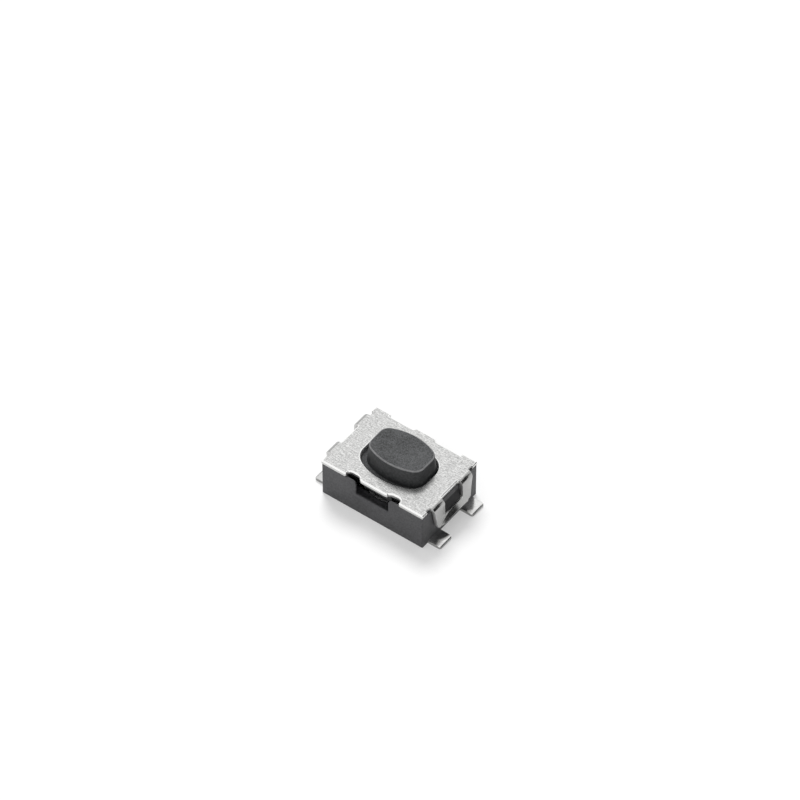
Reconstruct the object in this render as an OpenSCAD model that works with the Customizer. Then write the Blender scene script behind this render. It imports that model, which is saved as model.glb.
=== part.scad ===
// Surface-mount tactile push button with a snapped-on sheet cover, in millimetres.
// The origin is the centre of the underside, X runs along the length and Z points up.

/* [Housing] */
// Length of the moulded housing and of the cover plate on it
body_l = 3.9; // [3.8:0.05:4.2]
// Width of the moulded housing and of the cover plate on it
body_w = 2.84; // [2.8:0.02:3.1]
// Height of the housing's rim above the board
housing_h = 1.33; // [1.3:0.01:1.5]
// Radius of the housing's upright corners
housing_r = 0.06; // [0.04:0.01:0.12]
// Thickness of the housing's long walls
wall_long = 0.2; // [0.18:0.01:0.24]
// Thickness of the housing's end walls, which hold the contact necks
wall_end = 0.5; // [0.48:0.01:0.54]
// Height of the cavity's floor above the board
floor_z = 0.62; // [0.58:0.01:0.66]
// Radius of the cavity's upright corners
cavity_r = 0.2; // [0.1:0.05:0.25]
// Width of the front window
front_win_w = 1.25; // [1.1:0.05:1.4]
// Height of the front window's sill above the board
front_win_z = 0.8; // [0.72:0.01:0.81]
// Width of the back window
back_win_w = 2.77; // [2.6:0.01:2.8]
// Height of the back window's sill above the board
back_win_z = 0.89; // [0.8:0.01:0.95]
// Radius that rounds the wall tops beside the windows
win_top_r = 0.14; // [0.08:0.02:0.18]

/* [Underside] */
// Distance of the two core holes from the centre
hole_x = 1.52; // [1.48:0.02:1.54]
// Diameter of the two core holes
hole_d = 0.63; // [0.5:0.01:0.66]
// Depth of the two core holes
hole_depth = 0.36; // [0.2:0.02:0.4]
// Outer diameter of the gate ring
ring_d = 0.96; // [0.9:0.02:1]
// Diameter of the boss inside the gate ring
ring_boss_d = 0.74; // [0.7:0.02:0.78]
// Depth of the gate ring
ring_depth = 0.13; // [0.08:0.01:0.16]
// How far the boss stays below the underside
boss_sink = 0.05; // [0.03:0.01:0.07]
// Diameter of the gate scar in the boss
gate_d = 0.26; // [0.2:0.02:0.3]
// Length of the fine moulded frame
frame_l = 1.88; // [1.8:0.02:2]
// Width of the fine moulded frame
frame_w = 1.14; // [1.1:0.02:1.2]
// Width and depth of the frame's line
frame_line = 0.035; // [0.02:0.005:0.05]

/* [Cover] */
// Thickness of the cover's sheet
cover_t = 0.14; // [0.1:0.01:0.15]
// How far the ends of the opening reach over the flange that they hold in
hold_end = 0.16; // [0.15:0.01:0.18]
// How far the long sides of the opening reach over the flange
hold_side = 0.215; // [0.205:0.005:0.23]
// Radius of the opening's bowed long sides
open_side_r = 2.17; // [2:0.01:2.4]
// Radius of the opening's corners
open_corner_r = 0.54; // [0.48:0.01:0.55]
// Distance from the middle to each relief notch in the front edge
notch_x = 0.75; // [0.73:0.01:0.78]
// Width of each relief notch
notch_w = 0.53; // [0.45:0.01:0.56]
// Depth of each relief notch
notch_depth = 0.2; // [0.16:0.01:0.22]
// Radius of a relief notch's inner corners
notch_r = 0.13; // [0.1:0.01:0.14]
// How far the edge between the two notches is set in
notch_set_in = 0.065; // [0.04:0.005:0.08]
// Width of the shallow recess in the back edge
back_cut_w = 2.76; // [2.7:0.02:2.8]
// Depth of that recess
back_cut = 0.095; // [0.06:0.005:0.12]
// Width of the tab that stands in the middle of the recess
back_tab_w = 0.74; // [0.6:0.02:0.8]
// How far each side of that tab slopes out towards its foot
back_tab_slope = 0.08; // [0.04:0.02:0.1]
// Width of the slit in the end edge beside each strap
end_notch_w = 0.18; // [0.14:0.01:0.2]
// Depth of that slit
end_notch_depth = 0.07; // [0.06:0.01:0.08]
// How far the end edge between a strap's arms is set in
plate_set_in = 0.03; // [0.02:0.01:0.04]

/* [Snap straps] */
// Half distance between the outer edges of a strap's arms, at the top
arm_out = 1; // [0.96:0.01:1.04]
// Half distance between the outer edges at the bottom of the strap
arm_out_low = 0.85; // [0.8:0.01:0.9]
// Half width of the window between the arms
arm_in = 0.46; // [0.42:0.01:0.48]
// Inner radius of the bend from the plate into the arms
strap_bend_r = 0.04; // [0.02:0.01:0.06]
// Gap between the housing's end and the strap
strap_gap = 0.02; // [0.01:0.01:0.04]
// Height of the strap's lower corners above the board
strap_z = 0.5; // [0.46:0.01:0.54]
// Radius of those corners
strap_corner_r = 0.09; // [0.06:0.01:0.1]
// How much higher the lower edge is at its middle
strap_arch = 0.14; // [0.1:0.01:0.16]
// Height of the window's lower edge above the board
strap_win_z = 0.8; // [0.78:0.01:0.82]
// Radius of the window's lower corners
strap_win_r = 0.06; // [0.04:0.01:0.08]
// Angle by which the crossbar is flared out, to ride over the wedge
flare = 38; // [30:1:40]
// Height above the board where the flare starts
flare_z = 0.82; // [0.81:0.01:0.84]
// Radius of the flare's crown between the arms
flare_r = 1.5; // [1.2:0.1:1.8]
// Half width of the housing's snap wedge
wedge_w = 0.4; // [0.36:0.01:0.42]
// How far the snap wedge stands out of the housing's end
wedge_out = 0.13; // [0.08:0.01:0.15]
// Height of the snap wedge's ramp
wedge_h = 0.3; // [0.24:0.01:0.34]
// Height of the upright face between the wedge's foot and its ramp
wedge_face = 0.045; // [0.03:0.005:0.06]
// Gap between the wedge's foot and the crossbar under it
wedge_gap = 0.02; // [0.01:0.005:0.03]

/* [Contacts] */
// Thickness of the contact strip
strip_t = 0.12; // [0.1:0.01:0.13]
// Distance over the tips of the terminals
tip_span = 4.88; // [4.8:0.02:5.2]
// Width of a terminal
pin_w = 0.62; // [0.58:0.01:0.64]
// Distance from the housing's long side to the centre line of a terminal
pin_set_in = 0.58; // [0.56:0.01:0.59]
// Radius of a terminal's outer corners
pin_r = 0.07; // [0.04:0.01:0.1]
// Length of the terminal's foot that lies in the underside
foot_in = 0.26; // [0.22:0.01:0.28]
// Length over which that foot narrows to the neck
foot_shoulder = 0.2; // [0.16:0.02:0.24]
// Width of the neck that rises inside the end wall
neck_w = 0.28; // [0.24:0.01:0.3]
// Inner radius of the neck's bends
neck_r = 0.05; // [0.03:0.01:0.06]
// Half width of the centre contact's tongue
tongue_w = 0.2; // [0.16:0.01:0.22]
// Radius of the pad at the tongue's end
pad_r = 0.3; // [0.26:0.01:0.34]
// Radius of the coined rise in the pad's middle
coin_r = 0.15; // [0.12:0.01:0.2]
// How far each dome seat reaches inwards from the dome's edge
seat_in = 0.22; // [0.2:0.01:0.26]
// How far each dome seat reaches outwards past the dome's edge
seat_out = 0.1; // [0.06:0.01:0.14]
// Half length of each dome seat
seat_l = 0.36; // [0.3:0.02:0.4]
// Height of the coined pad and seats above the cavity's floor
coin_h = 0.04; // [0.03:0.01:0.05]

/* [Dome] */
// Gap between the snap dome and the cavity's long walls
dome_gap = 0.12; // [0.1:0.01:0.16]
// Thickness of the dome's sheet
dome_t = 0.05; // [0.04:0.005:0.06]
// Height of the dome over its seats
dome_h = 0.26; // [0.24:0.01:0.28]

/* [Button] */
// Height of the button's top above the board
button_z = 2; // [1.9:0.05:2.5]
// Gap between the opening's ends and the button's top outline
button_gap_l = 0.17; // [0.165:0.005:0.19]
// Gap between the opening's long sides and the button's top outline
button_gap_w = 0.185; // [0.18:0.005:0.2]
// Radius of the button's bowed long sides
button_side_r = 2; // [2:0.05:2.2]
// Radius of the button's corners
button_corner_r = 0.37; // [0.36:0.01:0.42]
// How much wider the button is on each side where it leaves its flange
button_draft = 0.07; // [0.04:0.01:0.07]
// Width of the broken edge round the button's top
button_edge = 0.03; // [0.02:0.005:0.05]
// Thickness of the flange that the cover holds in
flange_t = 0.29; // [0.24:0.01:0.29]
// Radius of the flange's upright corners
flange_r = 0.22; // [0.18:0.01:0.24]
// Gap between the flange and the cavity's long walls
flange_gap = 0.1; // [0.06:0.01:0.12]
// Gap between the flange and the cavity's end walls, both taken together
flange_play = 0.2; // [0.16:0.01:0.24]
// How far the button sits towards +X within that gap
button_shift = 0.065; // [0:0.005:0.065]
// How far it sits towards +Y in the gap between the flange and the long walls
button_shift_y = 0.05; // [0:0.005:0.05]
// Gap between the flange and the cover's underside
flange_top_gap = 0.02; // [0.01:0.005:0.03]
// Gap between the flange's key and each side of the front window, with the button centred
key_gap = 0.09; // [0.09:0.01:0.14]
// How far the key stays behind the housing's front
key_set_in = 0.18; // [0.14:0.01:0.2]
// Radius of the nub that presses on the dome
nub_r = 0.35; // [0.3:0.01:0.4]
// Gap between the nub and the top of the dome
nub_gap = 0.01; // [0.005:0.005:0.02]

/* [Hidden] */
$fn = 48;
arc_steps = 8;
fine_fn = 180;
cut = 0.1;
slice = 0.004;
end_x = body_l / 2;
side_y = body_w / 2;
cover_z = housing_h + cover_t;
cavity_x = end_x - wall_end;
cavity_y = side_y - wall_long;
strap_in_x = end_x + strap_gap;
strap_out_x = strap_in_x + cover_t;
foot_x = end_x - foot_in;
coin_z = floor_z + coin_h;
pin_y = side_y - pin_set_in;
dome_r = cavity_y - dome_gap;
dome_edge_z = coin_z;
dome_top_z = dome_edge_z + dome_h;
flange_l = cavity_x - flange_play / 2;
flange_w = cavity_y - flange_gap;
open_l = flange_l - hold_end;
open_w = flange_w - hold_side;
button_l = open_l - button_gap_l;
button_w = open_w - button_gap_w;
key_w = front_win_w / 2 - key_gap;
flange_z = housing_h - flange_top_gap - flange_t;
nub_z = dome_top_z + nub_gap;

// Points of an arc, without its first one, so that arcs can follow each other
function arc(centre, r, from, to) =
    [for (i = [1:arc_steps]) let (a = from + (to - from) * i / arc_steps)
        [centre[0] + r * cos(a), centre[1] + r * sin(a)]];

// A barrel outline: two bowed long sides, flat ends and round corners, all tangent
function barrel(half_l, half_w, side_r, corner_r) =
    let (cx = half_l - corner_r,
         bow_y = half_w - side_r,
         cy = bow_y + sqrt(pow(side_r - corner_r, 2) - pow(cx, 2)),
         turn = atan2(cy - bow_y, cx),
         upper = concat([[half_l, cy]],
             arc([cx, cy], corner_r, 0, turn),
             arc([0, bow_y], side_r, turn, 180 - turn),
             arc([-cx, cy], corner_r, 180 - turn, 180)))
    concat(upper, [for (p = upper) -p]);

// A rectangle with round corners, given by its half sizes
module round_rect(half_x, half_y, r) {
    square([2 * (half_x - r), 2 * half_y], center = true);
    square([2 * half_x, 2 * (half_y - r)], center = true);
    for (sx = [-1, 1], sy = [-1, 1])
        translate([sx * (half_x - r), sy * (half_y - r)]) circle(r);
}

// Puts a profile drawn in X and Z on its feet and gives it a width along Y
module across(width) {
    translate([0, width / 2, 0]) rotate([90, 0, 0]) linear_extrude(width) children();
}

// Puts a shape drawn in Y and Z upright and gives it a depth along X
module along(depth) {
    rotate([90, 0, 90]) linear_extrude(depth) children();
}

// Both ends of the switch are alike
module both_ends() {
    children();
    mirror([1, 0, 0]) children();
}

// A window's shape in its wall, open at the top, with the wall tops rounded off beside it
module window_shape(width, sill_z) {
    top = housing_h - sill_z;
    translate([-width / 2, sill_z]) square([width, top + cut]);
    for (s = [-1, 1]) translate([s * (width / 2 + win_top_r), housing_h - win_top_r])
        difference() {
            translate([-win_top_r, 0]) square([2 * win_top_r, win_top_r + cut]);
            circle(win_top_r);
            translate([s > 0 ? 0 : -win_top_r, -cut]) square([win_top_r, win_top_r + 2 * cut]);
        }
}

// The wedge on each end of the housing that the strap's window snaps over
module snap_wedge() {
    foot_z = strap_win_z + wedge_gap;
    translate([end_x, 0, 0]) across(2 * wedge_w) polygon([
        [-cut, foot_z], [wedge_out, foot_z], [wedge_out, foot_z + wedge_face],
        [0, foot_z + wedge_h], [-cut, foot_z + wedge_h]]);
}

// The ring round the gate, with its boss and scar, cut from below
module gate_ring_cut() {
    translate([0, 0, -cut]) difference() {
        cylinder(d = ring_d, h = ring_depth + cut);
        translate([0, 0, cut + boss_sink]) cylinder(d = ring_boss_d, h = ring_depth);
    }
    translate([0, 0, -cut]) cylinder(d = gate_d, h = cut + boss_sink + frame_line);
}

// The fine frame moulded round the gate, closed at one end only
module frame_cut() {
    depth = frame_line + cut;
    for (s = [-1, 1]) translate([-frame_l / 2, s * frame_w / 2 - frame_line / 2, -cut])
        cube([frame_l, frame_line, depth]);
    translate([-frame_l / 2, -frame_w / 2, -cut]) cube([frame_line, frame_w, depth]);
}

module housing() {
    color("#2b2b2d") difference() {
        union() {
            linear_extrude(housing_h) round_rect(end_x, side_y, housing_r);
            both_ends() snap_wedge();
        }
        translate([0, 0, floor_z]) linear_extrude(housing_h)
            round_rect(cavity_x, cavity_y, cavity_r);
        translate([0, -side_y + wall_long / 2, 0]) across(wall_long + 2 * cut)
            window_shape(front_win_w, front_win_z);
        translate([0, side_y - wall_long / 2, 0]) across(wall_long + 2 * cut)
            window_shape(back_win_w, back_win_z);
        for (s = [-1, 1]) translate([s * hole_x, 0, -cut])
            cylinder(d = hole_d, h = hole_depth + cut);
        gate_ring_cut();
        frame_cut();
        centre_strip();
        rim_strip();
    }
}

// The flat foot of a terminal: square at its tip, and drawn in to the neck at its inner end
module terminal_foot() {
    half = pin_w / 2;
    tip = tip_span / 2;
    linear_extrude(strip_t) translate([0, pin_y]) {
        polygon([[foot_x, -neck_w / 2], [foot_x + foot_shoulder, -half],
            [tip - pin_r, -half], [tip - pin_r, half],
            [foot_x + foot_shoulder, half], [foot_x, neck_w / 2]]);
        translate([tip - 2 * pin_r, -half + pin_r]) square([2 * pin_r, pin_w - 2 * pin_r]);
        for (s = [-1, 1]) translate([tip - pin_r, s * (half - pin_r)]) circle(pin_r);
    }
}

// The neck that rises from the foot, through the end wall, to the level of the floor
module neck() {
    outer = neck_r + strip_t;
    low = [foot_x + neck_r, strip_t + neck_r];
    high = [foot_x - outer, floor_z - outer];
    translate([0, pin_y, 0]) across(neck_w) polygon(concat(
        [[low[0] + cut, 0], [low[0], 0]], arc(low, outer, 270, 180),
        [[foot_x - strip_t, high[1]]], arc(high, neck_r, 0, 90),
        [[high[0] - cut, floor_z - strip_t], [high[0] - cut, floor_z], [high[0], floor_z]],
        arc(high, outer, 90, 0),
        [[foot_x, low[1]]], arc(low, neck_r, 180, 270), [[low[0] + cut, strip_t]]));
}

// Two terminals with their necks, and the strip along the floor that joins them
module terminal_pair() {
    both_ends() {
        terminal_foot();
        neck();
    }
    rail_l = foot_x - strip_t;
    translate([-rail_l, pin_y - neck_w / 2, floor_z - strip_t])
        cube([2 * rail_l, neck_w, strip_t]);
}

// The centre contact's sheet: the front pair of terminals and a tongue to the middle
module centre_strip() {
    mirror([0, 1, 0]) terminal_pair();
    translate([0, 0, floor_z - strip_t]) {
        translate([-tongue_w, -pin_y, 0]) cube([2 * tongue_w, pin_y, strip_t]);
        cylinder(r = pad_r, h = strip_t);
    }
}

// The rim contact's sheet: the back pair of terminals and an arm under each side of the dome
module rim_strip() {
    terminal_pair();
    both_ends() translate([dome_r - seat_in, -seat_l, floor_z - strip_t])
        cube([seat_in + seat_out, pin_y + seat_l, strip_t]);
}

module centre_contact() {
    color("#d9d9d6") {
        centre_strip();
        translate([0, 0, floor_z - slice]) cylinder(r = coin_r, h = coin_h + slice);
    }
}

module rim_contact() {
    color("#d9d9d6") {
        rim_strip();
        both_ends() translate([dome_r - seat_in, -seat_l, floor_z - slice])
            cube([seat_in + seat_out, 2 * seat_l, coin_h + slice]);
    }
}

// A shallow cap of sheet spring steel, standing on its round edge
module snap_dome() {
    rise = dome_h - dome_t;
    outer_r = (pow(dome_r, 2) + pow(rise, 2)) / (2 * rise) + dome_t / 2;
    color("#b9bcc0") translate([0, 0, dome_top_z - outer_r]) rotate_extrude() intersection() {
        difference() {
            circle(outer_r, $fn = 2 * fine_fn);
            circle(outer_r - dome_t, $fn = 2 * fine_fn);
        }
        translate([0, dome_edge_z - dome_top_z + outer_r]) square([dome_r, dome_h]);
    }
}

module button() {
    color("#4a4a4c") translate([button_shift, button_shift_y, 0]) {
        translate([0, 0, nub_z]) cylinder(r = nub_r, h = flange_z - nub_z + slice);
        translate([0, 0, flange_z]) linear_extrude(flange_t) {
            round_rect(flange_l, flange_w, flange_r);
            translate([-key_w, key_set_in - side_y]) square([2 * key_w, side_y - key_set_in]);
        }
        hull() {
            button_slice(flange_z + flange_t - slice, button_draft);
            button_slice(button_z - button_edge - slice, 0);
            button_slice(button_z - slice, -button_edge);
        }
    }
}

// A thin slice of the button's stem, grown on every side
module button_slice(z, grow) {
    translate([0, 0, z]) linear_extrude(slice) polygon(barrel(button_l + grow, button_w + grow,
        button_side_r + grow, button_corner_r + grow));
}

// The cover's plate, with its relief notches, its back recess and the button's opening
module cover_plate() {
    linear_extrude(cover_t) difference() {
        square([body_l, body_w], center = true);
        polygon(barrel(open_l, open_w, open_side_r, open_corner_r));
        for (s = [-1, 1]) translate([s * notch_x, -side_y + notch_depth - notch_r])
            front_notch();
        translate([-notch_x, -side_y - cut]) square([2 * notch_x, notch_set_in + cut]);
        difference() {
            translate([-back_cut_w / 2, side_y - back_cut]) square([back_cut_w, back_cut + cut]);
            back_tab();
        }
        both_ends() {
            for (s = [-1, 1]) translate([end_x, s * (arm_out + end_notch_w / 2)]) {
                translate([-end_notch_depth + end_notch_w / 2, -end_notch_w / 2])
                    square([end_notch_depth + cut, end_notch_w]);
                translate([-end_notch_depth + end_notch_w / 2, 0]) circle(d = end_notch_w);
            }
            translate([end_x - plate_set_in, -arm_in]) square([plate_set_in + cut, 2 * arm_in]);
        }
    }
}

// A relief notch with a round bottom, drawn from the middle of its two corner circles
module front_notch() {
    half = notch_w / 2 - notch_r;
    for (s = [-1, 1]) translate([s * half, 0]) circle(notch_r);
    translate([-half, -notch_r]) square([2 * half, 2 * notch_r]);
    translate([-notch_w / 2, -notch_depth - cut]) square([notch_w, notch_depth + cut]);
}

// The tab in the middle of the back recess, with sloping sides
module back_tab() {
    half = back_tab_w / 2;
    foot = half + back_tab_slope;
    translate([0, side_y - back_cut])
        polygon([[-foot, 0], [-half, back_cut], [half, back_cut], [foot, 0], [foot, -cut], [-foot, -cut]]);
}

// A strap's sheet seen from the front: out of the plate, round the bend and down
module strap_profile() {
    centre = [strap_in_x - strap_bend_r, housing_h - strap_bend_r];
    polygon(concat(
        [[end_x - end_notch_depth, cover_z], [centre[0], cover_z]],
        arc(centre, strap_bend_r + cover_t, 90, 0),
        [[strap_out_x, strap_z], [strap_in_x, strap_z]],
        [[strap_in_x, centre[1]]], arc(centre, strap_bend_r, 0, 90),
        [[end_x - end_notch_depth, housing_h]]));
}

// A strap's outline seen from its end: tapering, with an arched lower edge
module strap_outline() {
    arch_half = arm_out_low - 2 * strap_corner_r;
    arch_r = (pow(arch_half, 2) + pow(strap_arch, 2)) / (2 * strap_arch);
    corner = arm_out_low - strap_corner_r;
    difference() {
        union() {
            polygon([[-arm_out, cover_z], [-arm_out_low, strap_z + strap_corner_r],
                [arm_out_low, strap_z + strap_corner_r], [arm_out, cover_z]]);
            translate([-corner, strap_z]) square([2 * corner, 2 * strap_corner_r]);
            for (s = [-1, 1]) translate([s * corner, strap_z + strap_corner_r])
                circle(strap_corner_r);
        }
        translate([0, strap_z + strap_arch - arch_r]) circle(arch_r, $fn = fine_fn);
    }
}

// The window between a strap's arms, with round lower corners
module strap_window() {
    half = arm_in - strap_win_r;
    translate([-half, strap_win_z]) square([2 * half, cover_z]);
    translate([-arm_in, strap_win_z + strap_win_r]) square([2 * arm_in, cover_z]);
    for (s = [-1, 1]) translate([s * half, strap_win_z + strap_win_r]) circle(strap_win_r);
}

// A round bar that leans out with the flare. Its skin is the flared sheet: inset is 0 for
// the outer face and the sheet's thickness for the inner one.
module flare_bar(inset) {
    translate([strap_out_x, 0, flare_z]) rotate([0, -flare, 0])
        translate([-flare_r, 0, -flare_r])
            cylinder(r = flare_r - inset, h = 2 * flare_r, $fn = fine_fn);
}

// One snap strap: two arms and the flared crossbar that hooks under the wedge
module strap() {
    depth = strap_out_x + strap_z;
    intersection() {
        difference() {
            union() {
                across(2 * arm_out) strap_profile();
                intersection() {
                    flare_bar(0);
                    translate([strap_in_x, -arm_out, 0]) cube([depth, 2 * arm_out, flare_z]);
                }
            }
            flare_bar(cover_t);
            along(2 * depth) strap_window();
        }
        along(2 * depth) strap_outline();
    }
}

module cover() {
    color("#cfd0d0") {
        translate([0, 0, housing_h]) cover_plate();
        both_ends() strap();
    }
}

housing();
centre_contact();
rim_contact();
snap_dome();
button();
cover();
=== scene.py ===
import math
from types import SimpleNamespace

import bmesh
import bpy
from bmesh.types import BMFace, BMVert
from bpy.props import FloatProperty, FloatVectorProperty, PointerProperty
from mathutils import Matrix, Vector


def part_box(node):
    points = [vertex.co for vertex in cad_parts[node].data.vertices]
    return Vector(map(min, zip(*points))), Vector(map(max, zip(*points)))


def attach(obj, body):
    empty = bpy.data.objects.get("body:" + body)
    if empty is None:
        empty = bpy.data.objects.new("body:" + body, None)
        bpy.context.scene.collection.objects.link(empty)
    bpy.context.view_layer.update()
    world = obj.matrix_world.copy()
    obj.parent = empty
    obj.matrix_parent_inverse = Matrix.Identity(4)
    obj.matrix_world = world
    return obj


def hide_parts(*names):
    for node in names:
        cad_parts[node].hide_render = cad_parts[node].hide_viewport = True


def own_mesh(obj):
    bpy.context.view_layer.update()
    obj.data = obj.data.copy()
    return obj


bl_info = {
    "name": "Tactile push button switch",
    "version": (1, 0, 0),
    "blender": (4, 5, 0),
    "location": "View3D > Sidebar > Switch",
    "description": "Dresses the CAD frame of a surface-mount tactile push button switch",
    "category": "Add Mesh",
}

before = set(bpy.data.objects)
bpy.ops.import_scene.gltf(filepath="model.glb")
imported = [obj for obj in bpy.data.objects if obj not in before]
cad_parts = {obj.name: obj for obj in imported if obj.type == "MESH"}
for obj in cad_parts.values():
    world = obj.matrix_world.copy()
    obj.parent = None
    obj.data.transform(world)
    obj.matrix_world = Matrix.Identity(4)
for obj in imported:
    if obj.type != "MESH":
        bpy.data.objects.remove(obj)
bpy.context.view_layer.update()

# The pieces are modelled in millimetres and brought to metres when they are finished,
# because Blender's modelling tools are meant for sizes near 1.
MM = 0.001
STEPS = 8  # segments in a quarter turn
FINE = 0.0125  # spacing of the cuts where a sheet bends both ways
PAST = 1.0  # how far a cutter stands past what it cuts
NEAR = 1e-4  # places closer than this are taken as one
WELD = 1e-5  # points closer than this are merged
MAP_GAIN = 100  # the cover's map counts metres times this, which fits the unit square
QUARTER = math.pi / 2
SHARP = math.radians(40)  # edges with a greater turn than this are sharp ones

# Each piece's materials, in the order in which its mesh holds them
PLATED, CROPPED = range(2)  # contacts
BODY, SHADED_WEDGE = range(2)  # housing
FACE, HIGHLIT_EDGE, SHADED_SIDE = range(3)  # button
SHEET, RIM, WALL, SHADED_STRAP = range(4)  # cover

# The stage, in metres and in shares of white
CARD_R = 1.2  # distance of the dark cards
FLOOR_HALF = 1.5  # half the side of the paper sweep
FLOOR_GAP = 0.003 * MM  # how far it lies below the switch
SKY = 0.66  # strength of the white room as light
SKY_SEEN = 1.0  # and as the camera and the metal see it
PAPER_GLOW = 0.34  # what the paper adds for the camera and the metal
SUN = 2.0  # strength of the key light
SUN_SPREAD = math.radians(25)  # how wide the key light is
PICTURE = 800  # width of the picture in points
SCALE = 32.080246  # points for a millimetre, as in the photograph


def cad_size(node, corner, axis):
    """A side of a CAD node's box in millimetres; corner 0 is the lowest and 1 the highest."""
    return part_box(node)[corner][axis] / MM


# ---------------------------------------------------------------- settings


def length(name, description, millimetres):
    """A setting in metres, whose default is given in millimetres."""
    return FloatProperty(name=name, description=description, default=millimetres * MM,
                         min=0.0, precision=6, unit="LENGTH", subtype="DISTANCE")


def angle(name, description, degrees):
    """A setting in radians, whose default is given in degrees."""
    return FloatProperty(name=name, description=description, default=math.radians(degrees),
                         unit="ROTATION", subtype="ANGLE")


def linear(hex_colour):
    """An sRGB hex colour as the linear values that the shaders take."""
    parts = [int(hex_colour[i:i + 2], 16) / 255 for i in (1, 3, 5)]
    return [p / 12.92 if p <= 0.04045 else ((p + 0.055) / 1.055) ** 2.4 for p in parts] + [1.0]


def colour(name, description, hex_colour):
    return FloatVectorProperty(name=name, description=description, subtype="COLOR", size=4,
                               min=0.0, max=1.0, default=linear(hex_colour))


class HousingSettings(bpy.types.PropertyGroup):
    corner_r: length("Corner radius", "Radius of the upright corners", 0.06)
    wall_long: length("Long wall", "Thickness of the long walls", 0.2)
    wall_end: length("End wall", "Thickness of the end walls", 0.5)
    floor_z: length("Floor height", "Height of the cavity's floor", 0.62)
    cavity_r: length("Cavity radius", "Radius of the cavity's upright corners", 0.2)
    front_win_w: length("Front window width", "Width of the front window", 1.25)
    front_win_z: length("Front sill", "Height of the front window's sill", 0.8)
    back_win_w: length("Back window width", "Width of the back window", 2.77)
    back_win_z: length("Back sill", "Height of the back window's sill", 0.89)
    skin: length("Front skin", "Thickness of the front wall round its window", 0.05)
    skin_half: length("Skin half width", "Half width of the thin part of the front wall", 1.04)
    win_top_r: length("Window radius", "Radius of the wall tops beside the windows", 0.14)
    wedge_w: length("Wedge half width", "Half width of a snap wedge", 0.4)
    wedge_out: length("Wedge depth", "How far a snap wedge stands out", 0.13)
    wedge_z: length("Wedge foot", "Height of a snap wedge's foot", 0.82)
    wedge_face: length("Wedge face", "Height of the wedge's upright face", 0.045)
    wedge_h: length("Wedge height", "Height of the wedge's ramp", 0.3)
    hole_x: length("Hole place", "Distance of the core holes from the centre", 1.52)
    hole_d: length("Hole diameter", "Diameter of the core holes", 0.63)
    hole_depth: length("Hole depth", "Depth of the core holes", 0.36)
    ring_d: length("Ring diameter", "Outer diameter of the gate ring", 0.96)
    ring_boss_d: length("Boss diameter", "Diameter of the boss in the ring", 0.74)
    ring_depth: length("Ring depth", "Depth of the gate ring", 0.13)
    boss_sink: length("Boss sink", "How far the boss stays below the underside", 0.05)
    gate_d: length("Gate scar", "Diameter of the gate scar", 0.26)
    gate_slope: length("Gate slope", "How far the gate scar's side slopes in", 0.03)
    frame_l: length("Frame length", "Length of the fine moulded frame", 1.88)
    frame_w: length("Frame width", "Width of the fine moulded frame", 1.14)
    frame_line: length("Frame line", "Width and depth of the frame's line", 0.035)
    mould_r: length("Mould radius", "Radius that the mould leaves on outer edges", 0.02)
    fit: length("Hairline", "Gap between the plastic and the contacts in it", 0.004)


class CoverSettings(bpy.types.PropertyGroup):
    sheet: length("Sheet", "Thickness of the sheet", 0.14)
    plate_l: length("Plate half length", "Half length of the plate", 1.95)
    plate_w: length("Plate half width", "Half width of the plate", 1.42)
    open_l: length("Opening half length", "Half length of the button's opening", 1.19)
    open_w: length("Opening half width", "Half width of the button's opening", 0.9025)
    open_side_r: length("Opening side radius", "Radius of its bowed long sides", 2.17)
    open_corner_r: length("Opening corner radius", "Radius of its corners", 0.54)
    notch_far: length("Notch far side", "Distance of a notch's upright side from the centre", 1.015)
    notch_near: length("Notch near side", "Distance of its sloping side from the centre", 0.6)
    notch_slope: length("Notch slope", "How far that side slopes in down to the edge", 0.1)
    notch_lip_r: length("Notch lip", "Radius of the corners between a notch and the edge", 0.1)
    notch_depth: length("Notch depth", "Depth of a relief notch", 0.2)
    notch_r: length("Notch radius", "Radius of a relief notch's inner corners", 0.13)
    notch_set_in: length("Front set-in", "How far the edge between the notches is set in", 0.065)
    back_cut_w: length("Back recess width", "Width of the recess in the back edge", 2.76)
    back_cut: length("Back recess depth", "Depth of the recess in the back edge", 0.095)
    back_tab_w: length("Back tab width", "Width of the tab in the back recess", 0.74)
    back_tab_slope: length("Back tab slope", "How far the tab's sides slope", 0.08)
    slit_w: length("Slit width", "Width of the slit beside a strap", 0.18)
    slit_depth: length("Slit depth", "Depth of that slit", 0.07)
    plate_set_in: length("End set-in", "How far the end edge between the arms is set in", 0.03)
    arm_out: length("Strap half width", "Half width of a strap at the top", 1.0)
    arm_out_low: length("Strap low half width", "Half width of a strap at the bottom", 0.85)
    arm_in: length("Window half width", "Half width of the window between the arms", 0.46)
    bend_r: length("Bend radius", "Inner radius of the bend into the arms", 0.04)
    strap_gap: length("Strap gap", "Gap between the housing's end and the strap", 0.02)
    strap_z: length("Strap bottom", "Height of the strap's lower corners", 0.5)
    strap_arch: length("Strap arch", "Arch of the lower edge on the flat blank", 0.104)
    strap_corner_r: length("Strap corner radius", "Radius of the strap's lower corners", 0.13)
    window_z: length("Window bottom", "Height of the window's lower edge", 0.8)
    window_r: length("Window radius", "Radius of the window's corners", 0.06)
    flare: angle("Crossbar flare", "Angle by which the crossbar is flared out", 35.0)
    flare_z: length("Flare start", "Height where the flare starts at the middle", 0.88)
    flare_r: length("Flare crown", "Radius of the flare's crown between the arms", 1.5)
    flare_bend: length("Flare bend", "Radius of the sheet's middle in the flare's bend", 0.12)
    lean: length("Strap lean", "How far the strap's bottom springs outwards", 0.04)
    punch_r: length("Punch radius", "Rolled-over edge on the punched side", 0.045)
    open_roll: length("Opening roll", "Rolled-over edge round the button's opening", 0.055)
    burr_r: length("Die radius", "Broken edge on the die side", 0.01)


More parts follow.
